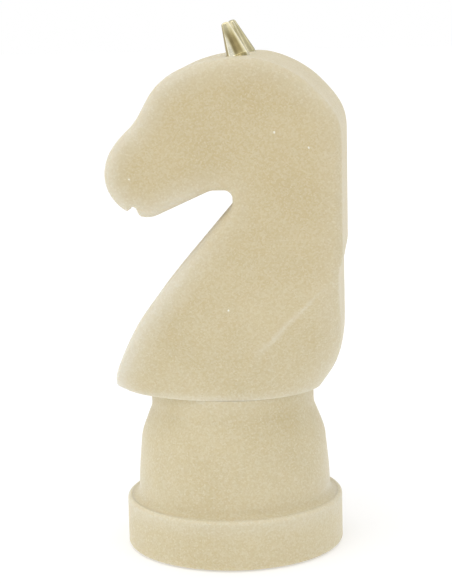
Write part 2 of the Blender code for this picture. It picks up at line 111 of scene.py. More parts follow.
# Mouth: a tilted bar with a round top, cut across the underside of the muzzle
MOUTH_X = -0.0503
MOUTH_LIP = 0.1101
MOUTH_HALF_WIDTH = 0.0027
MOUTH_RISE = 0.0027
MOUTH_TILT = math.radians(-14)
MOUTH_FLARE = 1.25
MOUTH_DROP = 0.0120
MOUTH_ROUND_STEPS = 12
MOUTH_OVERHANG = 1.2

# Remeshing and smoothing of the head, and how far what is cut off below the neck reaches
STONE_VOXEL = 0.0011
SETTLE_ROUNDS = 8
SETTLE_IN = 0.60
SETTLE_OUT = -0.63
BELOW_NECK = 0.0500

# Crown: how the flat faces (DROP) and the narrow sides (PULL, SWELL) fall away towards their edges
CROWN_WIDTH = 0.0160
CROWN_DROP = 0.0014
CROWN_PULL = 0.0009
CROWN_BLEND = 0.0075
CROWN_SWELL = 0.0006
CROWN_START = 0.0020
CROWN_FADE = 0.0300

# The soft ridge low on each flat face, towards the back
RIDGE_WIDTH = 0.0006
RIDGE_START = 0.0120
RIDGE_END = 0.0690
RIDGE_FADE = 0.0180
RIDGE_WAVE = 0.0002
RIDGE_WAVE_LENGTH = 0.0026
# Painted highlight along the ridge
RIDGE_HIGHLIGHT = 0.6
RIDGE_RISE = 0.0003

# Painted edge light: paler stone along the head's edges, weaker towards the back and the crest, with a
# painted highlight along its bottom edge at the joint
EDGE_LIGHT_WIDTH = 0.0160
BACK_EDGE_LIGHT_START = -0.0300
BACK_EDGE_LIGHT_FADE = 0.0400
BACK_EDGE_LIGHT_LOSS = 0.25
BACK_EDGE_LIGHT_TOP = 0.2800
CREST_EDGE_LIGHT_LOSS = 0.38
JOINT_HIGHLIGHT = 0.6
JOINT_HIGHLIGHT_HEIGHT = 0.0050

# Bell curve of the stem: radius, height over the foot plate, heading in degrees, reach before and after.
# It ends in a fillet that runs out on the foot plate.
NECK_RADIUS = 0.0486
STEM_CURVE = (
    (NECK_RADIUS, 0.0576, -90, 0, 0.0040),
    (0.0508, 0.0496, -70, 0.0032, 0.0053),
    (0.0554, 0.0351, -85, 0.0045, 0.0070),
    (0.0576, 0.0058, -90, 0.0090, 0.0034),
    (0.0620, 0.0001, -8, 0.0034, 0),
)
STEM_SPACING = 0.0010
STEM_RIM = 0.0003

# How far the stem's end faces stand off its neighbours
SEAM = 0.00005

# A ring under the fillet that drops into a groove in the foot plate
SPIGOT_INSIDE = 0.0500
SPIGOT_DEPTH = 0.0012
SPIGOT_PLAY = 0.00003

# Painted light and shade on the stem: rims, as (radius, height, width, amount), and soft patches, as
# (degrees from the front, height, width, amount). An amount below 0 is painted shade, above 0 painted
# light:
# a highlight at the neck, contact shade in the fillet, shadow under the head's overhang and light on the
# foot's ledge at both sides.
STEM_LIGHT_RIMS = (
    (NECK_RADIUS, NECK_JOINT - SEAM, 0.0018, 0.2),
    (STEM_CURVE[-1][0] - 0.0020, FOOT_TOP, 0.0060, -0.30),
)
STEM_LIGHT_PATCHES = (
    (-41, NECK_JOINT - SEAM - 0.0140, 0.0110, -0.5),
    (44, NECK_JOINT - SEAM - 0.0130, 0.0100, -0.5),
    (170, NECK_JOINT - SEAM - 0.0200, 0.0140, -0.5),
    (-82, FOOT_TOP + SEAM, 0.0220, 0.40),
    (92, FOOT_TOP + SEAM, 0.0260, 0.60),
)

# Foot plate
FOOT_TOP_ROUND = 0.0023
FOOT_LOWER_ROUND = 0.0020
FOOT_LEDGE_STEP = 0.0002
FOOT_WALL_STEPS = 20
# Painted highlight band along the foot's top rim
FOOT_HIGHLIGHT_RIMS = ((FOOT_RADIUS, FOOT_TOP - FOOT_TOP_ROUND, 0.0090, 0.45),)

# Fineness of turned pieces: steps around, and along a quarter round that is big, fair or small
TURN_STEPS = 240
FINE_STEPS = 48
COARSE_STEPS = 8
BIG_ROUND_STEPS = 8
FAIR_ROUND_STEPS = 6
SMALL_ROUND_STEPS = 4
SMOOTH_ANGLE = 32

# Pad: softening of its rim
PAD_SOFT = 0.0005

# Holes and seats in the castings
BORE_RADIUS = 0.0050
GROOVE_RADIUS = 0.0223
GROOVE_DEPTH = 0.0020
DOWEL_HOLE_RADIUS = 0.0043
DOWEL_HOLE_DEPTH = 0.0113
DOWEL_REACH = 0.0290
ANCHOR_HOLE_RADIUS = 0.0088
ANCHOR_HOLE_DEPTH = 0.0383
WELL_RADIUS = 0.0170
WELL_CEILING = 0.0185
LEDGE_RADIUS = 0.0200
LEDGE_TOP = 0.0049
RECESS_TOP = 0.0028
RECESS_RADIUS = 0.0593

# Hardware: threads. The depth is a share of the pitch, and slope and flat shape the crests and roots.
THREAD_DEPTH = 0.58
THREAD_SLOPE = 1.6
THREAD_FLAT = 0.3
THREAD_PLAY = 0.0001
THREAD_ROWS = 8
THREAD_STEPS = 36
ROD_PITCH = 0.00125
STUD_PITCH = 0.0007

# Hardware: the nut, with its chamfer as (reach as a share of the flats, drop) from the end to the side
NUT_STEPS = 72
NUT_FLATS = 0.0130
NUT_CHAMFER = tuple((0.48 + 0.024 * step, 0.00022 * step) for step in range(5))

# Hardware: knurled inserts, with a band's edges as shares of its height
KNURL_DEPTH = 0.0003
KNURL_PITCH = 0.0011
KNURL_STEPS = 4
KNURL_GROOVE = 1.6
KNURL_EDGES = ((0.06, 0.16), (0.84, 0.94))
INSERT_LEAD = 0.0005
ANCHOR_BANDS = 4
SLEEVE_BANDS = 2

# Hardware: washers, rings, dowels and the plug, whose grooves are (outer, inner) shares of its radius
WASHER_STEPS = 96
WASHER_SOFT = 0.0004
WASHER_SOFT_SHARE = 0.48
RING_SOFT = 0.0007
RING_BORE = 0.0120
SPLIT_STEPS = 96
SPLIT_SLANT = 0.16
SPLIT_THICKNESS = 0.8
SPLIT_SOFT = 0.0002
SPLIT_START = 6
SPLIT_TURN = 348
DOWEL_FLUTE = 0.0003
DOWEL_FLUTES = 16
DOWEL_FLUTE_STEPS = 6
DOWEL_CHAMFER = 0.0008
PLUG_STEPS = 120
PLUG_SOFT = 0.0004
PLUG_SLOPE = 0.0002
PLUG_GROOVE_DEPTH = 0.0006
PLUG_GROOVES = ((0.80, 0.72), (0.50, 0.42))

# Cast stone. Colours are linear RGB.
STONE_CLOUD_SCALE = 22
STONE_CLOUDS = ((0.30, (0.600, 0.505, 0.300)), (0.70, (0.660, 0.570, 0.365)))
CRYSTAL_SCALE = 1150
CRYSTAL_AMOUNT = 0.35
CRYSTAL_TONES = ((0.0, (0.56, 0.45, 0.25)), (0.5, (0.63, 0.54, 0.35)), (1.0, (0.72, 0.66, 0.52)))

# Shares of the crystals that are paler, and of those given a painted glint, and their colours
SPARK_SHARE = 0.06
SPARK_COLOUR = (0.675, 0.595, 0.415)
PAINTED_GLINT_SHARE = 0.0001
PAINTED_GLINT_COLOUR = (0.84, 0.82, 0.73)

# How much of the painted edge light colour shows as painted light grows, and what painted shade
# multiplies the stone by
PAINTED_LIGHT_AMOUNTS = ((0.0, 0.0), (0.5, 0.19), (1.0, 0.52))
PAINTED_EDGE_LIGHT_COLOUR = (0.81, 0.79, 0.715)
PAINTED_SHADE = (0.90, 0.87, 0.78)

# Painted light from below: heights between which the stone turns from its deeper high tint (first) to
# its paler, bluer low tint (second)
BELOW_LIGHT_HIGH = 0.24
BELOW_LIGHT_LOW = 0.10
BELOW_LIGHT_TINTS = ((0.970, 0.975, 0.985), (1.002, 1.032, 1.095))

STONE_GRAIN_SCALE = 1400
STONE_ROUGHNESS = ((0.0, 0.38), (1.0, 0.62))
STONE_SHADING = (
    ("Specular IOR Level", 0.20),
    ("Subsurface Weight", 1.0),
    ("Subsurface Radius", (0.8, 0.9, 1.0)),
    ("Subsurface Scale", 0.0025),
    ("Sheen Weight", 0.05),
    ("Sheen Roughness", 0.5),
)

# Brass of the ears, from dark (patina and painted dark reflection) to bright (polish and painted
# highlight)
BRASS_WEAR_AND_REFLECTION = (
    (0.0, (0.31, 0.25, 0.115)),
    (0.25, (0.42, 0.355, 0.18)),
    (0.5, (0.60, 0.54, 0.32)),
    (0.75, (0.80, 0.73, 0.50)),
    (1.0, (0.97, 0.93, 0.76)),
)

# Ears
EAR_X = 0.0095
EAR_SPREAD = 0.0215
EAR_CREST = 0.1952
EAR_LEAN = math.radians(21)
EAR_LEAN_IN = math.radians(7)
EAR_SINK = 0.0030
EAR_SEAT_TOP = 0.0120
EAR_LENGTH = 0.0237
EAR_BASE_RADIUS = 0.0066
EAR_TIP_RADIUS = 0.0026
EAR_TIP_ROUND = 0.0016
EAR_SCOOP_DEPTH = 0.0034
EAR_SCOOP_RADIUS = 0.0135
EAR_SCOOP_START = 0.0026
EAR_SCOOP_RISE = 0.0012
EAR_SCOOP_TURN = math.radians(12)
EAR_SCOOP_BLEND = 0.00025
EAR_BASE_CHAMFER = 0.0003
EAR_CAP_RADIUS = EAR_TIP_RADIUS * 0.35
EAR_CAP_RISE = 0.00010
EAR_CAP_TOP = 0.00013
EAR_STEPS = 96
EAR_ROWS = 60
EAR_SMOOTH_ANGLE = 50

# The border between an ear's dark hollow and its polished side: degrees at the base, and the change with
# height and with height squared
EAR_BORDER = (-27, -6, -36)

# Ear studs and sleeves, in the ear's own frame
STUD_RADIUS = 0.0020
STUD_LOW = -0.0120
STUD_HIGH = 0.0060
SLEEVE_RADIUS = 0.0040
SLEEVE_LOW = -0.0153
SLEEVE_HIGH = -0.0006
STUD_HOLE_RADIUS = 0.0023
STUD_HOLE_DEPTH = 0.0063
SLEEVE_HOLE_RADIUS = 0.0043
SLEEVE_HOLE_DEPTH = 0.0156

# Hardware, rubber and plastic: dark and light colour, scale of the grain, metallic, roughness
INSERT_BRASS_LOOK = ((0.50, 0.39, 0.18), (0.64, 0.52, 0.27), 400, 1.0, 0.35)
STEEL_LOOK = ((0.48, 0.48, 0.47), (0.62, 0.62, 0.61), 300, 1.0, 0.35)
RUBBER_LOOK = ((0.030, 0.030, 0.030), (0.055, 0.055, 0.055), 500, 0.0, 0.8)
PLASTIC_LOOK = ((0.100, 0.100, 0.100), (0.140, 0.140, 0.140), 600, 0.0, 0.5)

# Studio: softboxes as (name, place, width, height, power), one overhead light, floor and surround
WHITE = (1, 1, 1, 1)
MIDDLE = (0, 0, 0.16)
SOFTBOXES = (
    ("left", (-1.3, 0.0, 0.7), 1.2, 1.2, 0.9),
    ("front", (-0.6, -1.6, 0.7), 1.4, 1.4, 2.8),
    ("right_strip", (1.0, -1.0, 0.45), 0.2, 1.2, 0.5),
    ("back_right", (0.9, 0.7, 1.3), 1.0, 1.0, 1.3),
    ("back_left", (-1.1, 0.9, 0.6), 1.0, 1.2, 1.0),
)
OVERHEAD_POWER = 0.72
OVERHEAD_SPREAD = math.radians(60)
OVERHEAD_TURN = (math.radians(20), math.radians(-10), 0)
FLOOR_SIZE = 6
FLOOR_GREY = 0.65
FLOOR_GLOW = 0.39
AMBIENT_STRENGTH = 0.78
BACKDROP_STRENGTH = 1.0

# Camera at the photo's angle: degrees and metres, lens and sensor in millimetres
CAMERA_AZIMUTH = 5.631
CAMERA_DISTANCE = 1.0495
CAMERA_HEIGHT = 0.3461
CAMERA_PITCH = 10.453
CAMERA_YAW = -0.145
CAMERA_ROLL = -1.369
CAMERA_LENS = 110.43
CAMERA_SENSOR = 36


def along(point, heading, reach):
    """The point a distance away from another in a direction given in degrees."""
    angle = math.radians(heading)
    return (point[0] + reach * math.cos(angle), point[1] + reach * math.sin(angle))


def arc(centre, radius, start, end, steps):
    """Points on an arc, angles in degrees."""
    turn = end - start
    return [along(centre, start + turn * step / steps, radius) for step in range(steps + 1)]


def bezier(start, leave, arrive, end, spacing):
    """Points along a Bezier curve about `spacing` apart, without its last point."""
    corners = [Vector(corner) for corner in (start, leave, arrive, end)]
    length = sum((b - a).length for a, b in zip(corners, corners[1:]))
    steps = max(2, round(length / spacing))
    points = []
    for step in range(steps):
        t = step / steps
        weights = ((1 - t) ** 3, 3 * t * (1 - t) ** 2, 3 * t * t * (1 - t), t ** 3)
        points.append(sum((w * c for w, c in zip(weights, corners)), Vector((0, 0))))
    return points


def curve_points(stations, spacing, closed=True):
    """Points through stations of (across, up, heading, reach before, reach after)."""
    pairs = list(zip(stations, stations[1:]))
    if closed:
        pairs.append((stations[-1], stations[0]))
    points = []
    for first, second in pairs:
        leave = along(first, first[2], first[4])
        arrive = along(second, second[2], -second[3])
        points += bezier(first[:2], leave, arrive, second[:2], spacing)
    if not closed:
        points.append(Vector(stations[-1][:2]))
    return points


def new_object(name, mesh):
    item = bpy.data.objects.new(name, mesh)
    bpy.context.scene.collection.objects.link(item)
    return item


def mesh_from(name, shape):
    """Turn a bmesh into a mesh and free it."""
    bmesh.ops.recalc_face_normals(shape, faces=shape.faces)
    mesh = bpy.data.meshes.new(name)
    shape.to_mesh(mesh)
    shape.free()
    return mesh


def apply_modifiers(item):
    """Replace an object's mesh with what its modifiers make of it."""
    bpy.context.view_layer.update()
    graph = bpy.context.evaluated_depsgraph_get()
    mesh = bpy.data.meshes.new_from_object(item.evaluated_get(graph))
    old = item.data
    item.modifiers.clear()
    item.data = mesh
    bpy.data.meshes.remove(old)


def cut(item, tool, operation="DIFFERENCE"):
    """Apply one Boolean and throw the tool away."""
    change = item.modifiers.new("cut", "BOOLEAN")
    change.object = tool
    change.operation = operation
    change.solver = "EXACT"
    apply_modifiers(item)
    bpy.data.objects.remove(tool, do_unlink=True)


def extruded(points, half, raise_by=0.0, layer=None):
    """A bmesh of an outline of (x, z) points, extruded from -half to half along Y."""
    shape = bmesh.new()
    if layer is not None:
        shape.edges.layers.float.new(layer)
    corners = [shape.verts.new((x, -half, raise_by + z)) for x, z in points]
    face = shape.faces.new(corners)
    swept = bmesh.ops.extrude_face_region(shape, geom=[face])
    moved = [part for part in swept["geom"] if isinstance(part, bmesh.types.BMVert)]
    bmesh.ops.translate(shape, verts=moved, vec=(0, 2 * half, 0))
    return shape


def slab():
    """The head outline as a slab with rounded edges."""
    name = "bevel_weight_edge"
    shape = extruded(curve_points(HEAD_OUTLINE, OUTLINE_SPACING), HEAD_HALF, NECK_JOINT, name)
    layer = shape.edges.layers.float[name]
    for edge in shape.edges:
        edge[layer] = 1.0 if edge.verts[0].co.y * edge.verts[1].co.y > 0 else 0.0
    item = new_object("knight_head", mesh_from("knight_head", shape))
    soften = item.modifiers.new("round", "BEVEL")
    soften.width = EDGE_ROUND
    soften.segments = EDGE_STEPS
    soften.limit_method = "WEIGHT"
    soften.use_clamp_overlap = False
    apply_modifiers(item)
    return item


def smooth_step(value):
    """0 below 0, 1 above 1, and an even S between them."""
    value = min(max(value, 0), 1)
    return value * value * (3 - 2 * value)


def fade_in(value, start, width):
    """0 up to a start, 1 from a width beyond it; a width below 0 fades downwards."""
    return smooth_step((value - start) / width)


def bell(value, middle, width):
    """1 at the middle, falling off to both sides."""
    return math.exp(-(((value - middle) / width) ** 2))


def oval_reaches(height):
    """Chest reach, back reach and half width of the oval at a height over the neck joint."""
    rise = min(height / OVAL_HEIGHT, 1)
    chest = OVAL_CHEST[0] + OVAL_CHEST[1] * rise
    back = OVAL_BACK[0] + OVAL_BACK[1] * rise
    return chest, back, OVAL_SIDE[0] + OVAL_SIDE[1] * rise * rise


def oval_half_width(x, height):
    """Half the oval's width at a place seen from the side."""
    chest, back, side = oval_reaches(height)
    across = x / (back if x > 0 else chest)
    return side * math.sqrt(max(0, 1 - across * across))


def oval():
    """The bowl that trims the lower head."""
    rise = OVAL_HEIGHT - OVAL_FOOT
    heights = [OVAL_FOOT + rise * level / OVAL_LEVELS for level in range(OVAL_LEVELS + 1)]
    shape = bmesh.new()
    loops = []
    for height in heights + [OVAL_TOP]:
        chest, back, side = oval_reaches(height)
        loop = []
        for step in range(OVAL_STEPS):
            angle = math.tau * step / OVAL_STEPS
            reach = back if math.cos(angle) > 0 else chest
            corner = (reach * math.cos(angle), side * math.sin(angle), NECK_JOINT + height)
            loop.append(shape.verts.new(corner))
        loops.append(loop)
    for lower, upper in zip(loops, loops[1:]):
        for step in range(OVAL_STEPS):
            following = (step + 1) % OVAL_STEPS
            shape.faces.new((lower[step], lower[following], upper[following], upper[step]))
    shape.faces.new(loops[0])
    shape.faces.new(loops[-1])
    return new_object("oval", mesh_from("oval", shape))


def mouth():
    """A round-topped bar across the underside of the muzzle."""
    outline = arc((0, 0), MOUTH_HALF_WIDTH, 0, 180, MOUTH_ROUND_STEPS)
    outline += [(-MOUTH_HALF_WIDTH * MOUTH_FLARE, -MOUTH_DROP), (MOUTH_HALF_WIDTH, -MOUTH_DROP)]
    tool = new_object("mouth", mesh_from("mouth", extruded(outline, HEAD_HALF * MOUTH_OVERHANG)))
    tool.location = (MOUTH_X, 0, NECK_JOINT + MOUTH_LIP + MOUTH_RISE - MOUTH_HALF_WIDTH)
    tool.rotation_euler = (0, MOUTH_TILT, 0)
    return tool


def settle(mesh):
    """Smooth a remeshed surface, swelling as much as it shrinks so that its edges keep their place."""
    count = len(mesh.vertices)
    places = np.empty(count * 3)
    mesh.vertices.foreach_get("co", places)
    places = places.reshape(count, 3)
    ends = np.empty(len(mesh.edges) * 2, dtype=int)
    mesh.edges.foreach_get("vertices", ends)
    first = ends[0::2]
    second = ends[1::2]
    neighbours = np.bincount(ends, minlength=count)
    for factor in (SETTLE_IN, SETTLE_OUT) * SETTLE_ROUNDS:
        middle = np.empty_like(places)
        for axis in range(3):
            total = np.bincount(first, places[second, axis], count)
            total += np.bincount(second, places[first, axis], count)
            middle[:, axis] = total / neighbours
        places += factor * (middle - places)
    mesh.vertices.foreach_set("co", places.ravel())
    mesh.update()


def turned(name, profile, steps=TURN_STEPS):
    """Turn a closed or axis-to-axis profile of (radius, height) points about Z.

    A radius may be a function of the angle, for threads, knurls and flats.
    """
    shape = bmesh.new()
    rings = []
    for radius, height in profile:
        if radius == 0:
            rings.append([shape.verts.new((0, 0, height))] * steps)
            continue
        ring = []
        for step in range(steps):
            angle = math.tau * step / steps
            reach = radius(angle) if callable(radius) else radius
            corner = (reach * math.cos(angle), reach * math.sin(angle), height)
            ring.append(shape.verts.new(corner))
        rings.append(ring)
    pairs = list(zip(rings, rings[1:]))
    if profile[0][0] != 0:
        pairs.append((rings[-1], rings[0]))
    for upper, lower in pairs:
        for step in range(steps):
            following = (step + 1) % steps
            corners = [upper[step], lower[step], lower[following], upper[following]]
            shape.faces.new(list(dict.fromkeys(corners)))
    item = new_object(name, mesh_from(name, shape))
    smooth_shade(item)
    return item


def smooth_shade(item, sharp=SMOOTH_ANGLE):
    item.data.shade_smooth()
    item.data.set_sharp_from_angle(angle=math.radians(sharp))


def pin(radius, low, high, across=0.0, steps=FINE_STEPS):
    """A plain cylinder that cuts a hole."""
    tool = turned("pin", [(0, high), (radius, high), (radius, low), (0, low)], steps)
    tool.location = (across, 0, 0)
    return tool


def cut_dowel_holes(item, low, high):
    for across in (-DOWEL_REACH, DOWEL_REACH):
        cut(item, pin(DOWEL_HOLE_RADIUS, low, high, across))


def ear_matrix(side):
    """Where an ear's own frame sits: its base on the seat, its axis leaning forward."""
    sink = Vector((EAR_SINK * math.sin(EAR_LEAN), 0, -EAR_SINK * math.cos(EAR_LEAN)))
    base = Vector((EAR_X, side * EAR_SPREAD, NECK_JOINT + EAR_CREST)) + sink
    tilt = Matrix.Rotation(-EAR_LEAN, 4, "Y") @ Matrix.Rotation(side * EAR_LEAN_IN, 4, "X")
    return Matrix.Translation(base) @ tilt


class Relief:
    """Where points lie on the head: how far in from its outline and from its flat faces."""

    def __init__(self):
        self.outline = curve_points(HEAD_OUTLINE, RELIEF_SPACING)
        self.tree = KDTree(len(self.outline))
        for index, point in enumerate(self.outline):
            self.tree.insert((point.x, 0, NECK_JOINT + point.y), index)
        self.tree.balance()

    def measure(self, point):
        """Nearest place on the outline, and distances in from the outline and from a flat face."""
        index, inset = self.tree.find((point.x, 0, point.z))[1:]
        depth = max(0, min(HEAD_HALF, self.oval_half(point)) - abs(point.y))
        return index, inset, depth

    def oval_half(self, point):
        """Half the oval's width beside a point."""
        return oval_half_width(point.x, point.z - NECK_JOINT)

    def inward(self, index):
        """The direction into the head, seen from the side, at a place on the outline."""
        run = self.outline[(index + 1) % len(self.outline)] - self.outline[index - 1]
        return Vector((-run.y, 0, run.x)).normalized()

    def ridge(self, point, inset):
        """The soft ridge where the bowl of the lower head runs out on a flat face."""
        wave = RIDGE_WAVE * math.sin(point.z / RIDGE_WAVE_LENGTH)
        beyond = self.oval_half(point) - HEAD_HALF + wave
        height = math.exp(-((beyond / RIDGE_WIDTH) ** 2)) * min(1, inset / CROWN_WIDTH)
        ends = fade_in(point.x, RIDGE_START, RIDGE_FADE) * fade_in(point.x, RIDGE_END, -RIDGE_FADE)
        return height * ends


def crown(item, relief):
    """Let the flat faces fall away gently towards their edges, and raise the ridge on them."""
    for vertex in item.data.vertices:
        point = vertex.co.copy()
        index, inset, depth = relief.measure(point)
        fade = fade_in(point.z, NECK_JOINT + CROWN_START, CROWN_FADE)
        on_face = fade_in(depth, CROWN_BLEND, -CROWN_BLEND)
        on_side = fade_in(inset, CROWN_BLEND, -CROWN_BLEND)
        beside = max(0, 1 - inset / CROWN_WIDTH)
        below = max(0, 1 - depth / CROWN_WIDTH)
        ridge = RIDGE_RISE * relief.ridge(point, inset)
        drop = (CROWN_DROP * beside * beside * fade - ridge) * on_face
        pull = (CROWN_PULL * below * below - CROWN_SWELL) * on_side * fade
        shift = relief.inward(index) * pull - Vector((0, math.copysign(drop, point.y), 0))
        vertex.co = point + shift


def paint_head_edge_light(item, relief):
    """Note how much painted edge light each point of the head gets, with a painted highlight at the
    joint and on the ridge.
    """
    painted_light_and_shade = item.data.attributes.new("painted_light_and_shade", "FLOAT", "POINT")
    for vertex in item.data.vertices:
        point = vertex.co
        inset, depth = relief.measure(point)[1:]
        low = fade_in(point.z, BACK_EDGE_LIGHT_TOP, -BACK_EDGE_LIGHT_FADE)
        loss = CREST_EDGE_LIGHT_LOSS + BACK_EDGE_LIGHT_LOSS * low
        edge = 1 - math.hypot(inset, depth) / EDGE_LIGHT_WIDTH
        edge *= 1 - loss * fade_in(point.x, BACK_EDGE_LIGHT_START, BACK_EDGE_LIGHT_FADE)
        # Painted highlight along the head's bottom edge at the joint
        bottom = JOINT_HIGHLIGHT * (1 - (point.z - NECK_JOINT) / JOINT_HIGHLIGHT_HEIGHT)
        painted_light_and_shade.data[vertex.index].value = max(0, edge, bottom, RIDGE_HIGHLIGHT * relief.ridge(point, inset))


def paint_turned_light_and_shade(item, rims, patches=()):
    """Note each point's painted light (above 0) or painted shade (below 0) on a turned piece."""
    painted_light_and_shade = item.data.attributes.new("painted_light_and_shade", "FLOAT", "POINT")
    for vertex in item.data.vertices:
        x, y, z = vertex.co
        radius = math.hypot(x, y)
        amounts = [0]
        for rim_radius, height, width, amount in rims:
            away = math.hypot(radius - rim_radius, z - height)
            amounts.append(amount * max(0, 1 - away / width))
        for azimuth, height, width, amount in patches:
            swing = math.remainder(math.atan2(x, -y) - math.radians(azimuth), math.tau)
            away = math.hypot(radius * swing, z - height)
            amounts.append(amount * bell(away, 0, width))
        painted_light_and_shade.data[vertex.index].value = max(amounts) + min(amounts)


def drill_head(item):
    """Cut the holes under the head, and the holes and seats of the ears."""
    cut(item, pin(ANCHOR_HOLE_RADIUS, NECK_JOINT - OVERCUT, NECK_JOINT + ANCHOR_HOLE_DEPTH))
    cut_dowel_holes(item, NECK_JOINT - OVERCUT, NECK_JOINT + DOWEL_HOLE_DEPTH)
    for side in (-1, 1):
        for radius, low, high in (
            (SLEEVE_HOLE_RADIUS, -SLEEVE_HOLE_DEPTH, GAP),
            (EAR_BASE_RADIUS + GAP, -GAP, EAR_SEAT_TOP),
        ):
            tool = pin(radius, low, high)
            tool.matrix_world = ear_matrix(side)
            cut(item, tool)


def head():
    """The head block: a slab trimmed by the oval and the mouth, then smoothed, crowned and given painted
    edge light.
    """
    item = slab()
    cut(item, oval(), "INTERSECT")
    cut(item, mouth())
    remesh = item.modifiers.new("remesh", "REMESH")
    remesh.mode = "VOXEL"
    remesh.voxel_size = STONE_VOXEL
    apply_modifiers(item)
    settle(item.data)
    relief = Relief()
    crown(item, relief)
    cut(item, pin(FOOT_RADIUS * 2, NECK_JOINT - BELOW_NECK, NECK_JOINT, steps=COARSE_STEPS))
    drill_head(item)
    paint_head_edge_light(item, relief)
    smooth_shade(item)
    return item


def stem():
    """The turned bell, with its bore and a seat for a joint ring in each end."""
    low = FOOT_TOP + SEAM
    high = NECK_JOINT - SEAM
    fillet_end = STEM_CURVE[-1][0]
    profile = [(BORE_RADIUS, high - GROOVE_DEPTH), (GROOVE_RADIUS, high - GROOVE_DEPTH)]
    profile.append((GROOVE_RADIUS, high))
    profile += arc((NECK_RADIUS - STEM_RIM, high - STEM_RIM), STEM_RIM, 90, 0, FAIR_ROUND_STEPS)
    for point in curve_points(STEM_CURVE, STEM_SPACING, closed=False)[:-1]:
        profile.append((point.x, FOOT_TOP + point.y))
    profile += [(fillet_end, FOOT_TOP + STEM_CURVE[-1][1]), (fillet_end, low - SPIGOT_DEPTH)]
    profile += [(SPIGOT_INSIDE, low - SPIGOT_DEPTH), (SPIGOT_INSIDE, low), (GROOVE_RADIUS, low)]
    profile += [(GROOVE_RADIUS, low + GROOVE_DEPTH), (BORE_RADIUS, low + GROOVE_DEPTH)]
    item = turned("knight_stem", profile)
    cut_dowel_holes(item, low - OVERCUT, low + DOWEL_HOLE_DEPTH)
    cut_dowel_holes(item, high - DOWEL_HOLE_DEPTH, high + OVERCUT)
    # Painted highlight at the neck, painted contact shade in the fillet, painted shadow under the head,
    # painted light on the ledge
    paint_turned_light_and_shade(item, STEM_LIGHT_RIMS, STEM_LIGHT_PATCHES)
    smooth_shade(item)
    return item


def foot():
    """The round foot with soft rims, a groove for the stem's ring, nut well and pad recess."""
    radius = FOOT_RADIUS
    outside = STEM_CURVE[-1][0] + SPIGOT_PLAY
    inside = SPIGOT_INSIDE - SPIGOT_PLAY
    groove = FOOT_TOP - SPIGOT_DEPTH
    wall_low = FOOT_BOTTOM + FOOT_LOWER_ROUND
    wall_high = FOOT_TOP - FOOT_TOP_ROUND
    rim = radius - FOOT_TOP_ROUND
    profile = [(BORE_RADIUS, FOOT_TOP), (inside, FOOT_TOP), (inside, groove), (outside, groove)]
    profile += [(outside, FOOT_TOP), (rim - FOOT_LEDGE_STEP, FOOT_TOP)]
    profile += arc((rim, wall_high), FOOT_TOP_ROUND, 90, 0, BIG_ROUND_STEPS)
    for step in range(1, FOOT_WALL_STEPS):
        profile.append((radius, wall_high + (wall_low - wall_high) * step / FOOT_WALL_STEPS))
    profile += arc((radius - FOOT_LOWER_ROUND, wall_low), FOOT_LOWER_ROUND, 0, -90, BIG_ROUND_STEPS)
    profile += [(RECESS_RADIUS, FOOT_BOTTOM), (RECESS_RADIUS, RECESS_TOP), (LEDGE_RADIUS, RECESS_TOP)]
    profile += [(LEDGE_RADIUS, LEDGE_TOP), (WELL_RADIUS, LEDGE_TOP), (WELL_RADIUS, WELL_CEILING)]
    profile.append((BORE_RADIUS, WELL_CEILING))
    item = turned("knight_foot", profile)
    cut_dowel_holes(item, FOOT_TOP - DOWEL_HOLE_DEPTH, FOOT_TOP + OVERCUT)
    # Painted highlight band along the top rim
    paint_turned_light_and_shade(item, FOOT_HIGHLIGHT_RIMS)
    smooth_shade(item)
    return item


def scooped(radius, swing, height):
    """Distance from an ear's axis to its skin; `swing` is the angle from the middle of the hollow."""
    taper = radius / EAR_BASE_RADIUS
    hollow = EAR_SCOOP_RADIUS * taper
    depth = EAR_SCOOP_DEPTH * taper * fade_in(height, EAR_SCOOP_START, EAR_SCOOP_RISE)
    centre = radius + hollow - depth
    toward = math.cos(swing) * centre
    inside = toward * toward - centre * centre + hollow * hollow
    if toward <= 0 or inside <= 0:
        return radius
    reach = toward - math.sqrt(inside)
    mix = min(max(0.5 + 0.5 * (reach - radius) / EAR_SCOOP_BLEND, 0), 1)
    return reach + (radius - reach) * mix - EAR_SCOOP_BLEND * mix * (1 - mix)


def ear_wear_and_painted_reflection(swing, height):
    """How dark (0) or bright (1) an ear is; `swing` grows towards its back.

    Patina with a painted dark reflection darkens the hollow, a painted dark reflection darkens the
    front, polish with a painted highlight brightens beside the hollow and along its back rim, a painted
    highlight streak runs down the back, and the tip is brighter. The areas below are set in degrees
    around the ear and in shares of its height.
    """
    swing = math.degrees(swing)
    rise = (height - EAR_SINK) / (EAR_LENGTH - EAR_SINK)
    border = EAR_BORDER[0] + EAR_BORDER[1] * rise + EAR_BORDER[2] * rise * rise
    # Patina and painted dark reflection in the hollow, painted dark reflection down the front, polish
    # and painted highlight beside the hollow and on its rim, painted highlight streak on the back
    hollow = fade_in(swing, border, 16) * fade_in(swing, 50, -10)
    hollow *= fade_in(rise, 0.85, -0.40) * (0.45 + 0.55 * fade_in(rise, 0.03, 0.12))
    polished = fade_in(swing, border + 4, -12) * fade_in(swing, -58, 6) * fade_in(rise, 0.95, -0.4)
    rim = bell(swing, 57, 8)
    front = fade_in(swing, -56, -5) * fade_in(swing, -120, 10)
    painted_streak = bell(swing, 138, 6)
    tip = fade_in(rise, 0.75, 0.15)
    bright = 0.45 * polished + 0.4 * rim + 0.2 * painted_streak + 0.15 * tip
    return min(max(0.5 + bright - 0.5 * hollow - 0.5 * front, 0), 1)


